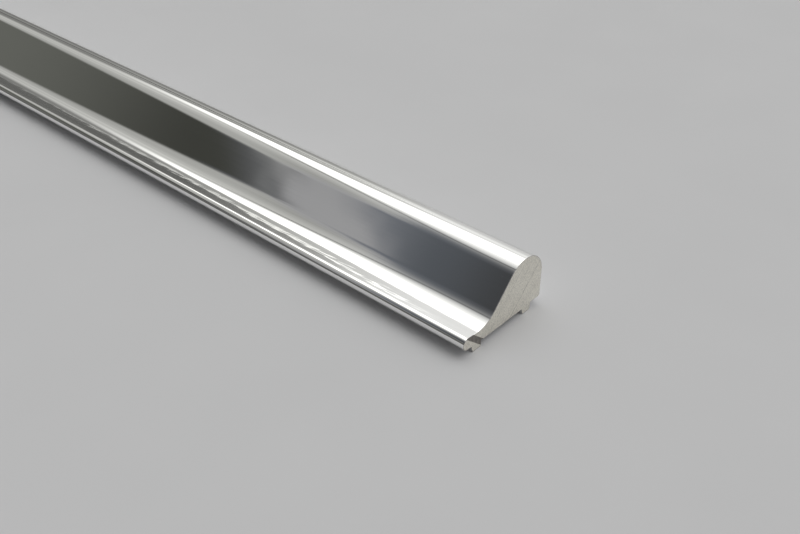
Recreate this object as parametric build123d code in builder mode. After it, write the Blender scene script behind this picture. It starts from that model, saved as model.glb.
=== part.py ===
"""Shower water bar: one length of solid aluminium extrusion, laid across the floor of a shower opening.

X runs along the bar, Y from the low nose to the upright back, and Z up from the floor that the feet stand on.
The origin is on the floor, under the middle of the bar. Lengths are in millimetres and angles in degrees.
"""

import os
from math import hypot, radians, tan

from build123d import *

# The whole bar
bar_length = 1000.0
overall_width = 26.7
overall_height = 15.0

# The crown: two arcs that meet at its apex, and the straight web that runs down from the front one
crown_front_radius = 6.2
crown_back_radius = 6.4
web_angle = 47.8

# The toe: a full-round nose, and a land that falls from its crest into the hollow under the web
toe_height = 4.65
toe_clearance = 1.7
toe_land_angle = 4.8
hollow_radius = 7.5
hollow_room_share = 0.95

# The underside: two feet, the shallow channel between them and the lip behind them
front_foot_setback = 3.2
front_foot_width = 2.9
rear_foot_setback = 3.4
rear_foot_width = 2.7
foot_draft_angle = 18.0
channel_depth = 1.5
lip_clearance = 1.8

# Small rounds of the underside
lip_corner_radius = 0.5
rear_foot_corner_radius = 0.65
root_radius = 0.25

# Places across the section, from the front edge to the back face
front_edge = -overall_width / 2
back_face = overall_width / 2
front_foot_front = front_edge + front_foot_setback
front_foot_back = front_foot_front + front_foot_width
rear_foot_back = back_face - rear_foot_setback
rear_foot_front = rear_foot_back - rear_foot_width

# The front walls of both feet lean back on their way down
draft_slope = tan(radians(foot_draft_angle))
toe_root = front_foot_front - toe_clearance * draft_slope
channel_rear = rear_foot_front - channel_depth * draft_slope

# Centres of the arcs
nose_radius = (toe_height - toe_clearance) / 2
nose_centre = (front_edge + nose_radius, toe_clearance + nose_radius)
apex = back_face - crown_back_radius
crown_front_centre = (apex, overall_height - crown_front_radius)
crown_back_centre = (apex, overall_height - crown_back_radius)

with BuildPart() as water_bar:
    with BuildSketch(Plane.YZ.offset(-bar_length / 2)):
        with BuildLine():
            nose = CenterArc(nose_centre, nose_radius, 90 - toe_land_angle, 180 + toe_land_angle)
            crown_front = CenterArc(crown_front_centre, crown_front_radius, 90, web_angle)
            crown_back = CenterArc(crown_back_centre, crown_back_radius, 0, 90)

            # The land leaves the nose and the web leaves the crown, both at a tangent.
            # The hollow rounds the corner where the two lines cross, as far as the land leaves room.
            land_start = nose @ 0
            web_start = crown_front @ 1
            land_slope = tan(radians(toe_land_angle))
            web_slope = tan(radians(web_angle))
            rise = land_start.Y + land_slope * land_start.X + web_slope * web_start.X - web_start.Y
            corner_y = rise / (land_slope + web_slope)
            corner = (corner_y, land_start.Y - land_slope * (corner_y - land_start.X))
            land_length = hypot(corner[0] - land_start.X, corner[1] - land_start.Y)
            hollow_room = hollow_room_share * land_length / tan(radians(toe_land_angle + web_angle) / 2)
            FilletPolyline(land_start, corner, web_start, radius=min(hollow_radius, hollow_room))

            # The back face and the underside close the outline, from the crown round to the nose.
            FilletPolyline(
                crown_back @ 0,
                (back_face, lip_clearance),
                (rear_foot_back, lip_clearance),
                (rear_foot_back, 0),
                (rear_foot_front, 0),
                (channel_rear, channel_depth),
                (front_foot_back, channel_depth),
                (front_foot_back, 0),
                (front_foot_front, 0),
                (toe_root, toe_clearance),
                nose @ 1,
                radius=[
                    lip_corner_radius,
                    root_radius,
                    rear_foot_corner_radius,
                    0,
                    root_radius,
                    root_radius,
                    0,
                    0,
                    root_radius,
                ],
            )
        make_face()
    extrude(amount=bar_length)

water_bar.part.label = "water_bar"

os.makedirs("parts", exist_ok=True)
export_step(water_bar.part, "parts/water_bar.step")

box = water_bar.part.bounding_box()
print(f"water_bar: {box.size.X:.2f} x {box.size.Y:.2f} x {box.size.Z:.2f} mm, {water_bar.part.volume / 1000:.1f} cm3")
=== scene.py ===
# %% [markdown]
# # A shower water bar
# The real thing is one length of polished aluminium extrusion, laid across the floor of a shower opening
# to keep the water in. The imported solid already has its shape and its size. This lesson gives it what a
# solid can't: a skin fine enough to mirror the room cleanly, the sawn ends, the sheared strip at the near
# end, a studio and a camera.

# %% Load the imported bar
import math

import bmesh
import bpy
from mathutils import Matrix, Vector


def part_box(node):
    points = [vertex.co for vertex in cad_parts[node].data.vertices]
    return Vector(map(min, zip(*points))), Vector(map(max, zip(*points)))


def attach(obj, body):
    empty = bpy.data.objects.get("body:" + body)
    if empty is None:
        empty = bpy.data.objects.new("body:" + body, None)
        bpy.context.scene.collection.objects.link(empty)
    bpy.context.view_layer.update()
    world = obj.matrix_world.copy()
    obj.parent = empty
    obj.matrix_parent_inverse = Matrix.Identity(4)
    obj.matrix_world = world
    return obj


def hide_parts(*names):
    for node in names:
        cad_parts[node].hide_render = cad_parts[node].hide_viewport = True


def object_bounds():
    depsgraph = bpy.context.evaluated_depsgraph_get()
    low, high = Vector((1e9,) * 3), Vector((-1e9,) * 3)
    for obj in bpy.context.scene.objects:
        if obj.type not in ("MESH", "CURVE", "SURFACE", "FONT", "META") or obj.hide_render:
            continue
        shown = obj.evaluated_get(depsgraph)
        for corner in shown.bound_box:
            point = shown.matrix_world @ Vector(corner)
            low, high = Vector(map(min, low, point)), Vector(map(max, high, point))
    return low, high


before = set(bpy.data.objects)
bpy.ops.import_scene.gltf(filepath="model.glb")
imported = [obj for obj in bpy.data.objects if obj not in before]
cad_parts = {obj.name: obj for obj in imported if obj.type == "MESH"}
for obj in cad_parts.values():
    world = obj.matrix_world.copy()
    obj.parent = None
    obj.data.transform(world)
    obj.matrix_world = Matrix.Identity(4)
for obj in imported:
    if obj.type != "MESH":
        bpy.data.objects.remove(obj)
cad_low, cad_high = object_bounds()
scene = bpy.context.scene
scene.view_settings.view_transform = "Standard"
print("nodes:", sorted(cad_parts), "from", tuple(cad_low), "to", tuple(cad_high))

# %% [markdown]
# ## The camera
# A mirror shows something else from every place, so the camera comes before the metal. It could be set by
# eye. This one was worked out instead: a pinhole camera was fitted to the outline of the sawn end and to
# the bar's two long edges, all at once. It stands close to the near end, in front of the bar, and looks
# down along it. Angles are in degrees, and a length in millimetres is written with MM.

# %% Camera
MM = 0.001
near_end = cad_high.x
beyond_the_end = 95.27 * MM
in_front = 138.09 * MM
above_the_floor = 133.09 * MM
looking_down = 35.051
turned_left = 42.098
focal_length = 44.629
film_width = 36.0
nearest_seen = 10.0 * MM

camera_data = bpy.data.cameras.new("camera")
camera_data.lens = focal_length
camera_data.sensor_width = film_width
camera_data.clip_start = nearest_seen
camera = bpy.data.objects.new("camera", camera_data)
camera.location = (near_end + beyond_the_end, -in_front, above_the_floor)
camera.rotation_euler = (math.radians(90 - looking_down), 0, math.radians(turned_left))
scene.collection.objects.link(camera)
scene.camera = camera
print("camera at", tuple(camera.location))

# %% [markdown]
# ## The section
# An extrusion is pushed through a die, so one drawing, its section, gives the whole bar. It could be read
# from the solid's mesh, but a mirror shows every flat, and that mesh has few faces. So it is drawn again
# as a few runs: arcs, straights and rounded corners. Each run is cut into short steps, and the runs that
# show most get the shortest. Y goes from the nose to the back and Z goes up, as on the solid.

# %% Helpers that draw a run
def arc_run(centre, radius, start, end, step):
    """Points on an arc, from one angle to another, in degrees."""
    count = max(2, math.ceil(abs(end - start) / step))
    angles = [math.radians(start + (end - start) * i / count) for i in range(count + 1)]
    return [(centre[0] + radius * math.cos(a), centre[1] + radius * math.sin(a)) for a in angles]


def straight_run(start, end, spacing):
    """Points on a straight, ends included."""
    count = max(1, math.ceil(math.dist(start, end) / spacing))
    return [tuple(s + (e - s) * i / count for s, e in zip(start, end)) for i in range(count + 1)]


def rounded_corner(before, corner, after, radius, step):
    """The arc that rounds a corner between two straights and touches both."""
    if radius == 0:
        return [corner]
    back = [(b - c) / math.dist(before, corner) for b, c in zip(before, corner)]
    on = [(a - c) / math.dist(after, corner) for a, c in zip(after, corner)]
    half = math.acos(back[0] * on[0] + back[1] * on[1]) / 2
    middle = [b + o for b, o in zip(back, on)]
    reach = radius / math.sin(half) / math.hypot(*middle)
    centre = [c + m * reach for c, m in zip(corner, middle)]
    touch = radius / math.tan(half)
    first = [c + b * touch - m for c, b, m in zip(corner, back, centre)]
    last = [c + o * touch - m for c, o, m in zip(corner, on, centre)]
    start = math.degrees(math.atan2(first[1], first[0]))
    turn = math.degrees(math.atan2(last[1], last[0])) - start
    turn = (turn + 180) % 360 - 180
    return arc_run(centre, radius, start, start + turn, step)


print("arc, straight and corner helpers are ready")

# %% [markdown]
# At the front of the bar is a low full-round nose, and at the back a tall crown of two arcs that meet at
# the top. The overall sizes are read from the frame, and the others are the solid's own.

# %% Nose and crown
low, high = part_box("water_bar")
front = low.y
back_face = high.y
top = high.z
toe_height = 4.65 * MM
toe_clearance = 1.7 * MM
land_angle = 4.8
crown_front_radius = 6.2 * MM
crown_back_radius = 6.4 * MM
web_angle = 47.8
nose_step = 4.0
fine_step = 2.0

nose_radius = (toe_height - toe_clearance) / 2
nose_centre = (front + nose_radius, toe_clearance + nose_radius)
apex = back_face - crown_back_radius
crown_front_centre = (apex, top - crown_front_radius)
crown_back_centre = (apex, top - crown_back_radius)
nose = arc_run(nose_centre, nose_radius, 270, 90 - land_angle, nose_step)
crown_front = arc_run(crown_front_centre, crown_front_radius, 90 + web_angle, 90, fine_step)
crown_back = arc_run(crown_back_centre, crown_back_radius, 90, 0, fine_step)
print("nose of", round(nose_radius / MM, 3), "mm, crown from", crown_front[0], "to", crown_back[-1])

# %% [markdown]
# From the nose's crest a land falls slightly towards the back, and a hollow turns it up into the straight
# web under the crown. The solid's land is flat. Here it is dished by a few hundredths of a millimetre, too
# little to see on its outline but enough to bend what it mirrors. The hollow then starts where the land
# stops and rounds the corner between the land's end and the web, so its radius is worked out.

# %% Land, hollow and web
land_end_angle = 2.5
land_length = 2.8 * MM
land_step = 0.12
web_spacing = 0.25 * MM

crest = nose[-1]
land_radius = land_length / math.radians(land_angle - land_end_angle)
land_lean = math.radians(90 - land_angle)
land_centre = (crest[0] + land_radius * math.cos(land_lean), crest[1] + land_radius * math.sin(land_lean))
land = arc_run(land_centre, land_radius, 270 - land_angle, 270 - land_end_angle, land_step)

land_end = land[-1]
web_end = crown_front[0]
land_slope = math.tan(math.radians(land_end_angle))
web_slope = math.tan(math.radians(web_angle))
rise = land_end[1] + land_slope * land_end[0] + web_slope * web_end[0] - web_end[1]
crossing_y = rise / (land_slope + web_slope)
crossing = (crossing_y, land_end[1] - land_slope * (crossing_y - land_end[0]))
half_turn = math.radians(land_end_angle + web_angle) / 2
hollow_radius = math.dist(land_end, crossing) / math.tan(half_turn)
hollow = rounded_corner(land_end, crossing, web_end, hollow_radius, fine_step)
web = straight_run(hollow[-1], web_end, web_spacing)
web_length = math.dist(web[0], web[-1])
print("hollow of", round(hollow_radius / MM, 2), "mm, web of", round(web_length / MM, 2), "mm")

# %% [markdown]
# The back is flat, and the bar stands on two feet with leaning front walls, a shallow channel between
# them and a lip behind them. The sawn end shows that their corners are a little round. So the underside is
# a list of corners, each with its own radius, and one helper rounds them all.

# %% The back and the underside
front_foot_setback = 3.2 * MM
front_foot_width = 2.9 * MM
rear_foot_setback = 3.4 * MM
rear_foot_width = 2.7 * MM
foot_draft_angle = 18.0
channel_depth = 1.5 * MM
lip_clearance = 1.8 * MM
lip_corner = 0.5 * MM
heel_corner = 0.65 * MM
root = 0.25 * MM
under_step = 18.0
back_spacing = 1.2 * MM

front_foot_front = front + front_foot_setback
front_foot_back = front_foot_front + front_foot_width
rear_foot_back = back_face - rear_foot_setback
rear_foot_front = rear_foot_back - rear_foot_width
draft = math.tan(math.radians(foot_draft_angle))
under_corners = [
    (crown_back[-1], 0),
    ((back_face, lip_clearance), lip_corner),
    ((rear_foot_back, lip_clearance), root),
    ((rear_foot_back, 0), heel_corner),
    ((rear_foot_front, 0), 0),
    ((rear_foot_front - channel_depth * draft, channel_depth), root),
    ((front_foot_back, channel_depth), root),
    ((front_foot_back, 0), 0),
    ((front_foot_front, 0), 0),
    ((front_foot_front - toe_clearance * draft, toe_clearance), root),
    (nose[0], 0),
]
underside = []
for (before, _), (corner, radius), (after, _) in zip(under_corners, under_corners[1:], under_corners[2:]):
    underside += rounded_corner(before, corner, after, radius, under_step)
back_run = straight_run(crown_back[-1], underside[0], back_spacing)
print(len(underside), "points under the bar")

# %% [markdown]
# The runs are joined end to end into one closed loop. Each point also gets three notes for later steps:
# how far round the section it lies, how much of it is land, and whether it is polished.

# %% Join the runs into one closed drawing
runs = {
    "nose": nose,
    "land": land,
    "hollow": hollow,
    "web": web,
    "crown_front": crown_front,
    "crown_back": crown_back,
    "back": back_run,
    "underside": underside,
}
outline = []
across = []
land_share = []
polished = []
travelled = 0.0
for name, points in runs.items():
    first = 0 if name == "nose" else 1
    for i in range(first, len(points)):
        if outline:
            travelled += math.dist(outline[-1], points[i])
        outline.append(points[i])
        across.append(travelled)
        share = i / (len(points) - 1)
        land_share.append(math.sin(math.pi * share) if name == "land" else 0.0)
        polished.append(name != "underside")
print(len(outline), "points round the section,", round(travelled / MM, 1), "mm")

# %% [markdown]
# ## The sweep
# The bar follows a rule, one drawing pushed along a line, so Geometry Nodes make it. An Array or an
# extruded face would do for a plain bar, but the sweep also carries the notes from the drawing to the
# skin, where the ripple and the finishes read them. The drawing goes in as a loop of edges.

# %% The drawing as a mesh of edges
section_mesh = bpy.data.meshes.new("section drawing")
count = len(outline)
section_mesh.from_pydata(
    [(y, z, 0) for y, z in reversed(outline)],
    [(i, (i + 1) % count) for i in range(count)],
    [],
)
notes = {"across": across, "land_share": land_share, "polished": polished}
for name, values in notes.items():
    note = section_mesh.attributes.new(name, "FLOAT", "POINT")
    note.data.foreach_set("value", [float(v) for v in reversed(values)])
bar = bpy.data.objects.new("polished_bar", section_mesh)
scene.collection.objects.link(bar)
print("drawing with notes", [a.name for a in section_mesh.attributes])

# %% [markdown]
# Sums between sockets are easier to read as Python sums, so one small class wraps a socket. Adding two
# wires adds a Math node, and one method adds any other node: its type, its settings first, then the
# values or links of its sockets. The same class serves the sweep, the finishes and the studio.

# %% A wire that can be added and multiplied
class Wire:
    """One socket of a node tree."""

    def __init__(self, tree, socket=None):
        self.tree = tree
        self.socket = socket

    def node(self, kind, settings=None, values=None, out=0):
        """Adds a node and gives back one of its outputs."""
        made = self.tree.nodes.new(kind)
        for name, setting in (settings or {}).items():
            setattr(made, name, setting)
        for name, value in (values or {}).items():
            if isinstance(value, Wire):
                self.tree.links.new(value.socket, made.inputs[name])
            else:
                made.inputs[name].default_value = value
        return Wire(self.tree, made.outputs[out] if made.outputs else None)

    def maths(self, operation, first, second=0.0):
        return self.node("ShaderNodeMath", {"operation": operation}, {0: first, 1: second})

    def __add__(self, other):
        return self.maths("ADD", self, other)

    def __sub__(self, other):
        return self.maths("SUBTRACT", self, other)

    def __rsub__(self, other):
        return self.maths("SUBTRACT", other, self)

    def __mul__(self, other):
        return self.maths("MULTIPLY", self, other)

    def __truediv__(self, other):
        return self.maths("DIVIDE", self, other)

    def __neg__(self):
        return self.maths("MULTIPLY", self, -1.0)

    __radd__ = __add__
    __rmul__ = __mul__

    def at_least(self, least):
        return self.maths("MAXIMUM", self, least)

    def rises(self, start, end):
        """0 before start, 1 after end, and a smooth rise between them."""
        limits = {"Value": self, "From Min": start, "From Max": end}
        return self.node("ShaderNodeMapRange", {"interpolation_type": "SMOOTHSTEP"}, limits)

    def falls(self, start, end):
        """1 before start, 0 after end, and a smooth fall between them."""
        return 1 - self.rises(start, end)

    def part(self, axis):
        return self.node("ShaderNodeSeparateXYZ", values={0: self}, out=axis)

    def level(self, first, second):
        """A number between two others, by this wire."""
        return first + (second - first) * self

    def between(self, first, second):
        """A colour between two others, by this wire."""
        return self.node("ShaderNodeMix", {"data_type": "RGBA"}, {0: self, 6: first, 7: second}, out=2)


print("wires are ready")

# %% [markdown]
# The tree has a named input for each size, so that a size can be changed in one place. The stations are
# the places along the line where the drawing is set down.

# %% The tree and its named inputs
sweep = bpy.data.node_groups.new("sweep the section", "GeometryNodeTree")
sweep.interface.new_socket("Drawing", in_out="INPUT", socket_type="NodeSocketGeometry")
size_inputs = {
    "Length": ("NodeSocketFloat", high.x - low.x),
    "Stations": ("NodeSocketInt", 251),
    "Ripple depth": ("NodeSocketFloat", 0.018 * MM),
    "Ripple width": ("NodeSocketFloat", 0.9 * MM),
    "Ripple length": ("NodeSocketFloat", 16.0 * MM),
    "Seed": ("NodeSocketFloat", 4.0),
    "Skin": ("NodeSocketMaterial", None),
    "Underside": ("NodeSocketMaterial", None),
}
socket_ids = {}
for name, (kind, _) in size_inputs.items():
    socket_ids[name] = sweep.interface.new_socket(name, in_out="INPUT", socket_type=kind).identifier
sweep.interface.new_socket("Bar", in_out="OUTPUT", socket_type="NodeSocketGeometry")
group_input = sweep.nodes.new("NodeGroupInput")
given = {s.name: Wire(sweep, s) for s in group_input.outputs if s.name}
print("sweep tree with inputs", list(given))

# %% [markdown]
# A straight curve as long as the bar is cut into the stations. Curve to Mesh sets the drawing down at each
# of them, joins them with faces and closes both ends. The notes on the drawing's points come along.

# %% Push the drawing along a line
half_length = given["Length"] / 2
line_end = half_length.node("ShaderNodeCombineXYZ", values={"X": half_length})
line_start = half_length.node("ShaderNodeCombineXYZ", values={"X": -half_length})
line = line_end.node("GeometryNodeCurvePrimitiveLine", values={"Start": line_start, "End": line_end})
line = line.node("GeometryNodeResampleCurve", values={"Curve": line, "Count": given["Stations"]})
# The sweep stands a drawing the other way up, so it is turned half round first.
turned = line.node(
    "GeometryNodeTransform",
    values={"Geometry": given["Drawing"], "Rotation": (0, 0, math.pi)},
)
profile = turned.node("GeometryNodeMeshToCurve", values={"Mesh": turned})
skin = profile.node(
    "GeometryNodeCurveToMesh",
    values={"Curve": line, "Profile Curve": profile, "Fill Caps": True},
)
print("swept with", len(sweep.nodes), "nodes so far")

# %% [markdown]
# The land of a real bar has a slight ripple, a hundredth of a millimetre or two deep, as the die and the
# polishing wheel leave it. On a mirror that is enough to break a line of light. Noise sinks the skin along
# its normal. It is read by the place along the bar and the place round the section, and the land's note
# fades it out at both edges of the land.

# %% Ripple the land
float_note = {"data_type": "FLOAT"}
round_note = skin.node("GeometryNodeInputNamedAttribute", float_note, {"Name": "across"})
land_note = skin.node("GeometryNodeInputNamedAttribute", float_note, {"Name": "land_share"})
position = skin.node("GeometryNodeInputPosition")
ripple_place = skin.node(
    "ShaderNodeCombineXYZ",
    values={"X": position.part("X") / given["Ripple length"], "Y": round_note / given["Ripple width"]},
)
ripple = skin.node(
    "ShaderNodeTexNoise",
    {"noise_dimensions": "4D"},
    {"Vector": ripple_place, "W": given["Seed"], "Scale": 1.0, "Detail": 1.0},
)
normal = skin.node("GeometryNodeInputNormal")
sunk = normal.node(
    "ShaderNodeVectorMath",
    {"operation": "SCALE"},
    {0: normal, "Scale": -(ripple * land_note * given["Ripple depth"])},
)
skin = skin.node("GeometryNodeSetPosition", values={"Geometry": skin, "Offset": sunk})
print("the land sinks by up to", size_inputs["Ripple depth"][1] / MM, "mm")

# %% [markdown]
# The skin has two finishes, and the polished note tells them apart. Faces could be picked by hand later
# on, but a note on the drawing still fits when a size changes.

# %% Give the skin its two finishes and end the tree
polish_note = skin.node("GeometryNodeInputNamedAttribute", float_note, {"Name": "polished"})
hidden = polish_note.node("FunctionNodeCompare", {"operation": "LESS_THAN"}, {0: polish_note, 1: 0.5})
skin = skin.node("GeometryNodeRealizeInstances", values={"Geometry": skin})
skin = skin.node("GeometryNodeSetMaterial", values={"Geometry": skin, "Material": given["Skin"]})
skin = skin.node(
    "GeometryNodeSetMaterial",
    values={"Geometry": skin, "Selection": hidden, "Material": given["Underside"]},
)
group_output = sweep.nodes.new("NodeGroupOutput")
sweep.links.new(skin.socket, group_output.inputs[0])
print("the sweep tree has", len(sweep.nodes), "nodes")

# %% [markdown]
# ## The finishes
# Four finishes show on the bar: the polished face, the underside, the sawn ends, with painted shade in
# their scores, and the sheared strip, whose dark colour is painted shade.
# All four are the same metal, so they share a start: a metal shader that reads the object's own
# coordinates.
# Photographs of metal could be wrapped round the bar instead, but noise needs no picture, never repeats
# and can be stretched along the bar as the real marks are.

# %% Helpers that start a finish
def new_finish(name, metallic=1.0):
    """A material with a plain shader; gives back the material, its shader and its object coordinates."""
    material = bpy.data.materials.new(name)
    material.use_nodes = True
    tree = material.node_tree
    shader = tree.nodes["Principled BSDF"]
    shader.inputs["Metallic"].default_value = metallic
    place = Wire(tree).node("ShaderNodeTexCoord", out="Object")
    return material, shader, place


def stretched_noise(place, lumps, detail=2.0):
    """Noise with its own size along each axis; lumps says how many there are to a metre."""
    mapped = place.node("ShaderNodeMapping", values={"Vector": place, "Scale": lumps})
    return mapped.node("ShaderNodeTexNoise", values={"Vector": mapped, "Scale": 1.0, "Detail": detail})


def turned_place(place, axis, angle):
    """Coordinates turned about one axis, so that slanting marks run straight in them."""
    rotation = [0.0, 0.0, 0.0]
    rotation["XYZ".index(axis)] = -math.radians(angle)
    return place.node("ShaderNodeMapping", values={"Vector": place, "Rotation": rotation})


def wire_up(shader, socket, wire):
    wire.tree.links.new(wire.socket, shader.inputs[socket])


def bumped(height, depth):
    """A normal that follows a height; depth is what one unit of the height stands for, in metres."""
    return height.node("ShaderNodeBump", values={"Strength": 1.0, "Distance": depth, "Height": height})


print("finish helpers are ready")

# %% [markdown]
# The face is a mirror with faint long lines that the die and the wheel left, and a bloom of slightly
# duller metal here and there. The land also has fine chatter marks, a little slantwise, that break up what
# it mirrors. All of these are a hundredth of a millimetre deep or less, finer than the mesh, so they bend
# the shading and leave the skin as it is.

# %% Polished face
polished_aluminium, shader, place = new_finish("polished_aluminium")
dull_metal = (0.90, 0.90, 0.89, 1)
clear_metal = (0.93, 0.93, 0.92, 1)
line_depth = 0.0006 * MM
chatter_angle = 5.0
chatter_depth = 0.011 * MM
chatter_end = land_end[0] + 1.2 * MM
fade_in = 0.5 * MM
fade_out = 1.0 * MM

die_lines = stretched_noise(place, (6.0, 1500.0, 1500.0), 3.0)
bloom = stretched_noise(place, (40.0, 160.0, 160.0))
chatter = stretched_noise(turned_place(place, "Z", chatter_angle), (170.0, 1250.0, 60.0), 1.0)
past_crest = place.part("Y") - land[0][0]
before_hollow = chatter_end - place.part("Y")
on_land = past_crest.rises(0.0, fade_in) * before_hollow.rises(0.0, fade_out)
relief = line_depth * die_lines + chatter_depth * (chatter - 0.5) * on_land
wire_up(shader, "Base Color", bloom.between(dull_metal, clear_metal))
wire_up(shader, "Roughness", 0.04 + 0.02 * die_lines.rises(0.3, 0.8) + 0.015 * bloom)
wire_up(shader, "Normal", bumped(relief, 1.0))
print("made", polished_aluminium.name)

# %% [markdown]
# The underside is as it came from the press: duller, with the die's lines all along it. It is hidden in
# most views, so one noise gives its colour, its roughness and its relief.

# %% Underside, as pressed
pressed_aluminium, shader, place = new_finish("pressed_aluminium")
line_dark = (0.78, 0.78, 0.77, 1)
line_light = (0.88, 0.88, 0.87, 1)
die_lines = stretched_noise(place, (5.0, 2200.0, 2200.0), 3.0)
wire_up(shader, "Base Color", die_lines.between(line_dark, line_light))
wire_up(shader, "Roughness", 0.28 + 0.14 * die_lines)
wire_up(shader, "Normal", bumped(die_lines, 0.004 * MM))
print("made", pressed_aluminium.name)

# %% [markdown]
# A saw leaves a matt face, speckled, slightly warm in colour and finely lined the way the blade went. Two
# teeth scored it deeper, and the shade in their grooves is painted on as a dark line and a fainter one
# across it, broken in places. In coordinates turned to the blade's angle such lines lie level, and the
# distance from a level is enough to draw them.

# %% Sawn end
sawn_aluminium, shader, place = new_finish("sawn_aluminium")
saw_angle = 46.5
score_width = 0.15 * MM
scores = {-0.66 * MM: 1.0, 4.63 * MM: 0.45}
grain_dark = (0.70, 0.68, 0.62, 1)
grain_light = (0.91, 0.885, 0.81, 1)
score_shade_dark = (0.3, 0.29, 0.27, 1)
score_shade_strength = 0.65

speckle = stretched_noise(place, (900.0, 2400.0, 2400.0), 3.0)
cloud = stretched_noise(place, (200.0, 320.0, 320.0))
lean = turned_place(place, "X", saw_angle)
saw_lines = stretched_noise(lean, (50.0, 120.0, 3600.0), 3.0)
score_breaks = stretched_noise(lean, (50.0, 260.0, 260.0)).rises(0.3, 0.55)
# The score lines are painted shade: a dark colour laid where the two grooves would hold shade.
score_shade = 0.0
for height, weight in scores.items():
    away = lean.maths("ABSOLUTE", lean.part("Z") - height)
    score_shade = weight * away.falls(0.2 * score_width, score_width) + score_shade
grain = (0.6 * speckle + 0.25 * saw_lines + 0.15 * cloud).rises(0.36, 0.62)
bright = grain.between(grain_dark, grain_light)
wire_up(shader, "Base Color", (score_shade_strength * score_shade * score_breaks).between(bright, score_shade_dark))
wire_up(shader, "Roughness", 0.42 + 0.16 * speckle)
wire_up(shader, "Normal", bumped(0.6 * speckle + saw_lines, 0.012 * MM))
print("made", sawn_aluminium.name)

# %% [markdown]
# The sheared strip is torn metal, rougher than the saw's face, and its dark colour is painted shade for the
# shallow recess.
# A coarser noise with a deeper bump gives the torn look, and its floor is cut into the mesh in a later
# step.

# %% Sheared strip, in painted shade
sheared_strip_painted_shade, shader, place = new_finish("sheared_strip_painted_shade")
# The dark colours are painted shade for the recess; the torn noise mottles them.
torn_shade_dark = (0.2, 0.188, 0.175, 1)
torn_shade_light = (0.34, 0.322, 0.3, 1)
torn = stretched_noise(place, (400.0, 1500.0, 1500.0), 4.0)
wire_up(shader, "Base Color", torn.rises(0.25, 0.75).between(torn_shade_dark, torn_shade_light))
wire_up(shader, "Roughness", 0.5 + 0.2 * torn)
wire_up(shader, "Normal", bumped(torn, 0.05 * MM))
print("made", sheared_strip_painted_shade.name)

# %% [markdown]
# ## The bar as a plain mesh
# A modifier's inputs are set by their identifiers, before the first evaluation. The result is then read
# back as a plain mesh and the modifier goes, because the export and the frame want geometry and no recipe.

# %% Run the sweep
def settle(piece):
    """Swaps a piece's modifiers for the mesh that they give."""
    shown = piece.evaluated_get(bpy.context.evaluated_depsgraph_get())
    made = bpy.data.meshes.new_from_object(shown)
    piece.modifiers.clear()
    piece.data = made


recipe = bar.modifiers.new("sweep", "NODES")
recipe.node_group = sweep
chosen = {"Skin": polished_aluminium, "Underside": pressed_aluminium}
for name, (_, value) in size_inputs.items():
    recipe[socket_ids[name]] = chosen.get(name, value)
settle(bar)
print("swept", len(bar.data.polygons), "faces, materials", [m.name for m in bar.data.materials])

# %% [markdown]
# ## The ends
# A saw leaves a flat end with a sharp rim, and a file takes the sharpness off. The rim could be drawn into
# the sweep, but a Bevel modifier, held to the sharp edges, breaks it and the corners of the feet alike.

# %% Break the sharp edges
rim = bar.modifiers.new("rim", "BEVEL")
rim.width = 0.1 * MM
rim.segments = 2
rim.limit_method = "ANGLE"
rim.angle_limit = math.radians(40)
settle(bar)
print("with the rim broken:", len(bar.data.polygons), "faces")

# %% [markdown]
# At the near end, a strip that runs slantwise across the thin neck has been sheared a little deeper than
# the saw cut. A darker colour alone would look painted on, so a Boolean takes a thin block out of the end;
# its floor still gets a dark colour, painted shade for the recess.
# The block overruns the strip at both ends, because the strip runs out through the top and the bottom of
# the section.

# %% A block the size of the strip
strip_top = (front + 2.2 * MM, 4.55 * MM)
strip_bottom = (front + 6.28 * MM, 1.02 * MM)
strip_width = 1.45 * MM
strip_depth = 0.12 * MM
strip_overrun = 1.4 * MM

strip_length = math.dist(strip_top, strip_bottom)
run = [(b - t) / strip_length for t, b in zip(strip_top, strip_bottom)]
side = (-run[1], run[0])
strip_start = [t - r * strip_overrun for t, r in zip(strip_top, run)]
strip_stop = [b + r * strip_overrun for b, r in zip(strip_bottom, run)]
footprint = []
for end, way in ((strip_start, -1), (strip_stop, -1), (strip_stop, 1), (strip_start, 1)):
    footprint.append([e + way * s * strip_width / 2 for e, s in zip(end, side)])
cutter_corners = [(near_end + depth, y, z) for depth in (-strip_depth, strip_depth) for y, z in footprint]
cutter_sides = [(i, (i + 1) % 4, 4 + (i + 1) % 4, 4 + i) for i in range(4)]
cutter_mesh = bpy.data.meshes.new("shear")
cutter_mesh.from_pydata(cutter_corners, [], cutter_sides + [(3, 2, 1, 0), (4, 5, 6, 7)])
cutter_shape = bmesh.new()
cutter_shape.from_mesh(cutter_mesh)
bmesh.ops.recalc_face_normals(cutter_shape, faces=cutter_shape.faces)
cutter_shape.to_mesh(cutter_mesh)
cutter_shape.free()
print("a block", round(strip_length / MM, 2), "mm long without its overrun")

# %% Shear the strip
cutter = bpy.data.objects.new("shear", cutter_mesh)
scene.collection.objects.link(cutter)
shear = bar.modifiers.new("shear", "BOOLEAN")
shear.object = cutter
shear.operation = "DIFFERENCE"
shear.solver = "EXACT"
settle(bar)
bpy.data.objects.remove(cutter)
print("sheared:", len(bar.data.polygons), "faces")

# %% [markdown]
# The sweep gave every face of the ends the polished finish. Faces that look along the bar are picked out
# by their normals, and their place tells the saw's face from the floor of the strip. The skin is then
# shaded smooth, with its real edges kept sharp.

# %% Give the ends their finishes
hair = 0.01 * MM
end_facing = 0.9
sharp_from = 20.0

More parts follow.
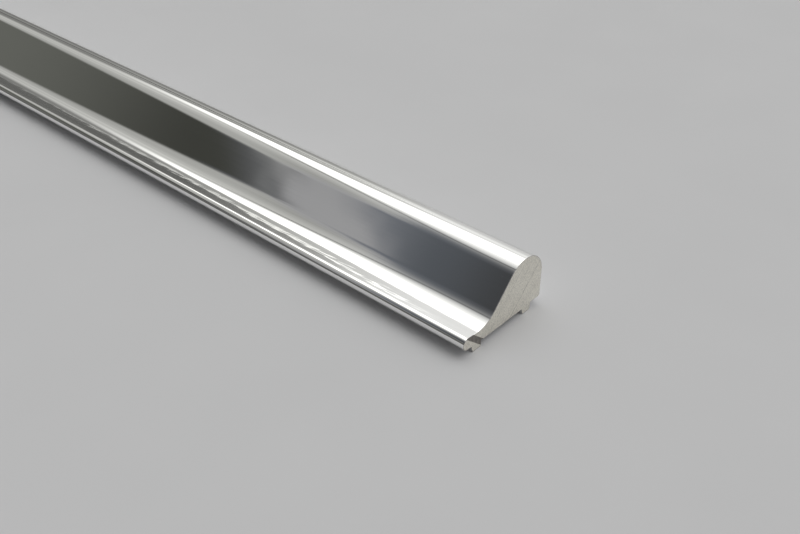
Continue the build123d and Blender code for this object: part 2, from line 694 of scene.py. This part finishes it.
bar.data.materials.append(sawn_aluminium)
bar.data.materials.append(sheared_strip_painted_shade)
slots = {m.name: i for i, m in enumerate(bar.data.materials) if m}
for face in bar.data.polygons:
    if abs(face.normal.x) <= end_facing:
        continue
    if abs(abs(face.center.x) - near_end) < hair:
        face.material_index = slots[sawn_aluminium.name]
    elif face.center.x > near_end - strip_depth - hair:
        # The strip's floor gets the finish whose dark colour is painted shade.
        face.material_index = slots[sheared_strip_painted_shade.name]
bar.data.shade_smooth()
bar.data.set_sharp_from_angle(angle=math.radians(sharp_from))
print("finishes", list(slots))

# %% [markdown]
# A bar that was bevelled and cut is worth measuring. A closed skin has no open edges and a volume close to
# the solid's, and the triangles show what it costs to draw.

# %% Measure the bar
whole = bmesh.new()
whole.from_mesh(bar.data)
volume = whole.calc_volume(signed=True)
open_edges = sum(1 for e in whole.edges if not e.is_manifold)
triangles = sum(len(f.verts) - 2 for f in whole.faces)
whole.free()
print("volume", round(volume * 1e6, 2), "cm3, open edges", open_edges, ", triangles", triangles)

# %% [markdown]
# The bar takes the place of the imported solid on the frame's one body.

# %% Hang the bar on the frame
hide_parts("water_bar")
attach(bar, "root")

# %% [markdown]
# ## The floor
# A plain pale floor, wide enough to fill every view. It could be a curved sweep of paper, but from above
# only the floor shows. Its colour makes the background pale, and no extra light does. It lies a hair below
# the feet, so that the two never share a plane.

# %% Floor
floor_reach = 60.0
floor_drop = 0.02 * MM
paper_dark = (0.63, 0.63, 0.645, 1)
paper_light = (0.66, 0.66, 0.675, 1)

reach_signs = [(-1, -1), (1, -1), (1, 1), (-1, 1)]
floor_corners = [(x * floor_reach, y * floor_reach, -floor_drop) for x, y in reach_signs]
floor_mesh = bpy.data.meshes.new("floor")
floor_mesh.from_pydata(floor_corners, [], [(0, 1, 2, 3)])
floor = bpy.data.objects.new("floor", floor_mesh)
scene.collection.objects.link(floor)
pale_floor, shader, place = new_finish("pale_floor", metallic=0.0)
shader.inputs["Roughness"].default_value = 0.9
shader.inputs["Specular IOR Level"].default_value = 0.2
paper = stretched_noise(place, (30.0, 30.0, 30.0))
wire_up(shader, "Base Color", paper.between(paper_dark, paper_light))
floor_mesh.materials.append(pale_floor)
print("floor", 2 * floor_reach, "m wide")

# %% [markdown]
# ## The studio
# Polished metal has hardly a colour of its own: what it shows is the room. A studio could be built of
# panels, but they would stand in the way of other views, so this one is painted on the world, by
# direction. Two numbers give a direction: how far it leans along the bar, and the angle round the bar from
# the front (0), up (90) and over to the back (180). A third, the taper, is 0 round the near end and grows
# towards the far end. Most of the room narrows or dims with it.

# %% Directions
taper_start = -0.455
taper_run = 0.3

studio_world = bpy.data.worlds.new("studio")
scene.world = studio_world
studio_world.use_nodes = True
studio_world.node_tree.nodes.clear()
studio = Wire(studio_world.node_tree)
direction = studio.node("ShaderNodeTexCoord", out="Generated")
along = direction.part("X")
round_bar = studio.maths("ARCTAN2", direction.part("Z"), -direction.part("Y")) * math.degrees(1)
taper = ((taper_start - along) / taper_run).at_least(0.0)
print("directions by lean, by angle round the bar and by taper")

# %% [markdown]
# A wide soft lamp hangs overhead. Its edges draw together and its light fades towards the far end, so that
# it ends in a point. Round the near end its front edge is a broad fringe with a faint spill of light, and
# a thin dark frame lies before it. An area lamp has one hardness all round, and a painted one can have a
# different one at each edge.

# %% Lamp
lamp_front_near = 74.0
lamp_front_swing = 36.0
lamp_back_near = 135.0
lamp_back_swing = 9.5
fringe_far = 8.0
fringe_near = 40.0
spill_near = 0.13

past_front = round_bar - (lamp_front_near + lamp_front_swing * taper.rises(0.08, 1.1))
past_back = round_bar - (lamp_back_near - lamp_back_swing * taper.rises(0.0, 0.6))
nearness = taper.falls(0.05, 0.6)
fringe = nearness.level(fringe_far, fringe_near)
spill = spill_near * nearness
lamp = spill * past_front.rises(-2.0, 2.0) + (1 - spill) * past_front.rises(-3.0, fringe)
lamp = lamp * past_back.falls(-4.0, 4.0)
lamp = lamp * along.falls(0.6, 0.9) * taper.falls(0.75, 1.2)
lamp_frame = past_front.rises(-6.5, -4.5) * past_front.falls(-3.5, -1.5) * taper.falls(0.7, 0.95)
print("painted the lamp")

# %% [markdown]
# The walls before and behind the lamp are grey. The back wall is light round the near end and dims
# towards the far one, most of all low down.

# %% Front and back walls
front_light = 0.34
far_lift = 0.06 * taper.rises(0.6, 0.85)
lamp_glow = 0.18 * past_front.rises(-34.0, -4.0)
far_fade = 1 - 0.15 * taper.rises(0.95, 1.3)
front_wall = (front_light + far_lift + lamp_glow) * far_fade

back_light = 0.80 - 0.56 * taper.rises(0.1, 1.3)
before_far = taper.falls(0.8, 1.1)
middle_loss = 0.14 * taper.rises(0.15, 0.5) + 0.13 * taper.rises(0.3, 0.8) * before_far
low_loss = (0.38 + 0.24 * taper.rises(0.1, 0.6) * before_far) * round_bar.rises(148.0, 166.0)
high_share = 1.02 - middle_loss
low_share = 1.15 - low_loss
back_wall = back_light * round_bar.rises(143.0, 148.0).level(high_share, low_share)
print("painted the walls")

# %% [markdown]
# Two thin lines run along the back wall, a bright streak and a dark slot under it. They give the crown's
# shoulder the fine lines that it shows. Slow folds of noise keep the walls from looking like flat paint.

# %% Streak, slot and folds
streak_angle = 144.4 - 5.3 * taper
streak_light = 2.0 * back_light
slot_light = 0.125 + 0.5 * (0.9 - taper).at_least(0.0)

past_streak = round_bar - streak_angle
streak = past_streak.rises(-1.2, -0.4) * past_streak.falls(0.4, 1.2)
streak = streak * taper.rises(0.1, 0.4) * taper.falls(1.05, 1.35)
slot = past_streak.rises(0.3, 1.0) * round_bar.falls(145.0, 147.0) * taper.rises(0.35, 0.6)
back_wall = streak.level(back_wall, streak_light)
back_wall = slot.level(back_wall, slot_light)
wall = past_back.rises(-12.0, 2.0).level(front_wall, back_wall)
folds = studio.node(
    "ShaderNodeTexNoise",
    {"noise_dimensions": "1D"},
    {"W": 0.15 * round_bar + 1.5 * along, "Scale": 1.0, "Detail": 2.0},
)
wall = wall * (0.85 + 0.3 * folds)
print("painted a streak, a slot and folds")

# %% [markdown]
# The sloping web mirrors the front of the room. It shows a dark far part, a light patch and a dark near
# part, so the front has two dark shapes, left and right, with the wall between them. Noise bends their
# edges. Below them, a low strip along the floor is dark too.

# %% Dark front
low_top = (26.0, 38.0)
left_lean = -0.685
left_angle = 48.5
left_slope = 225.0
left_wobble = 12.0
right_lean = -0.6
right_angle = 44.0
right_slope = 0.012
right_step = 0.035
right_wobble = 0.05

low_front = round_bar.rises(-1.0, 3.0) * round_bar.falls(*low_top)
above_low = round_bar.rises(*low_top)
lobes = studio.node("ShaderNodeTexNoise", values={"Vector": direction, "Scale": 45.0, "Detail": 1.0})
wobble = lobes - 0.5
left_edge = left_angle + left_slope * (left_lean - along) + left_wobble * wobble * taper.falls(0.7, 0.9)
left_dark = above_low * (round_bar - left_edge).falls(-7.0, 5.0)
right_edge = right_lean + right_slope * (right_angle - round_bar).at_least(0.0)
right_edge = right_edge + right_step * round_bar.rises(right_angle, 54.0) + right_wobble * wobble
right_dark = above_low * (along - right_edge).rises(-0.025, 0.025)
right_dark = right_dark * round_bar.falls(48.0, 95.0) * along.falls(0.0, 0.5)
print("painted a dark front")

# %% [markdown]
# The room is nearly grey, but not quite. The walls turn a little warm higher up, the left shape goes from
# slate to olive, and the right one is bluish, so a little of each colour is mixed in.

# %% Colours
left_slate = (0.094, 0.097, 0.101, 1)
left_olive = (0.047, 0.048, 0.042, 1)
left_far = (0.127, 0.13, 0.117, 1)
right_far = (0.16, 0.17, 0.19, 1)
right_middle = (0.085, 0.093, 0.105, 1)
right_near = (0.05, 0.052, 0.055, 1)
right_sheen = (0.5, 0.52, 0.58, 1)

warmth = 0.035 + 0.025 * taper.rises(0.2, 0.7)
warm_from = 44.0 - 16.0 * taper.rises(0.6, 0.8)
wall_blue = wall * (1.02 - warmth * (round_bar - warm_from).rises(0.0, 22.0))
wall_colour = studio.node("ShaderNodeCombineColor", values={0: wall, 1: wall, 2: wall_blue})
slanted_taper = taper + (0.02 * (43.2 - round_bar)).at_least(-0.04)
left_colour = slanted_taper.rises(0.75, 0.88).between(left_slate, left_olive)
left_colour = taper.rises(0.9, 1.35).between(left_colour, left_far)
right_colour = along.rises(-0.59, -0.52).between(right_far, right_middle)
right_colour = along.rises(-0.53, -0.45).between(right_colour, right_near)
right_colour = (0.05 * round_bar.rises(43.0, 50.0)).between(right_colour, right_sheen)
print("mixed the colours")

# %% [markdown]
# The parts are laid over one another, the lamp last. Right at the horizon the world takes the colour of
# the lit floor, so that the floor's far edge doesn't show.

# %% Put the studio together
low_colour = (0.11, 0.11, 0.105, 1)
frame_colour = (0.08, 0.08, 0.08, 1)
frame_strength = 0.7
lamp_colour = (1.6, 1.6, 1.56, 1)
horizon_colour = (0.5, 0.5, 0.5, 1)

room = left_dark.between(wall_colour, left_colour)
room = right_dark.between(room, right_colour)
room = low_front.between(room, low_colour)
room = (frame_strength * lamp_frame).between(room, frame_colour)
room = lamp.between(room, lamp_colour)
near_horizon = direction.part("Z").falls(0.012, 0.035)
room = near_horizon.between(room, horizon_colour)
light = studio.node("ShaderNodeBackground", values={"Color": room, "Strength": 1.0})
studio.node("ShaderNodeOutputWorld", values={"Surface": light})
print("the studio has", len(studio_world.node_tree.nodes), "nodes")
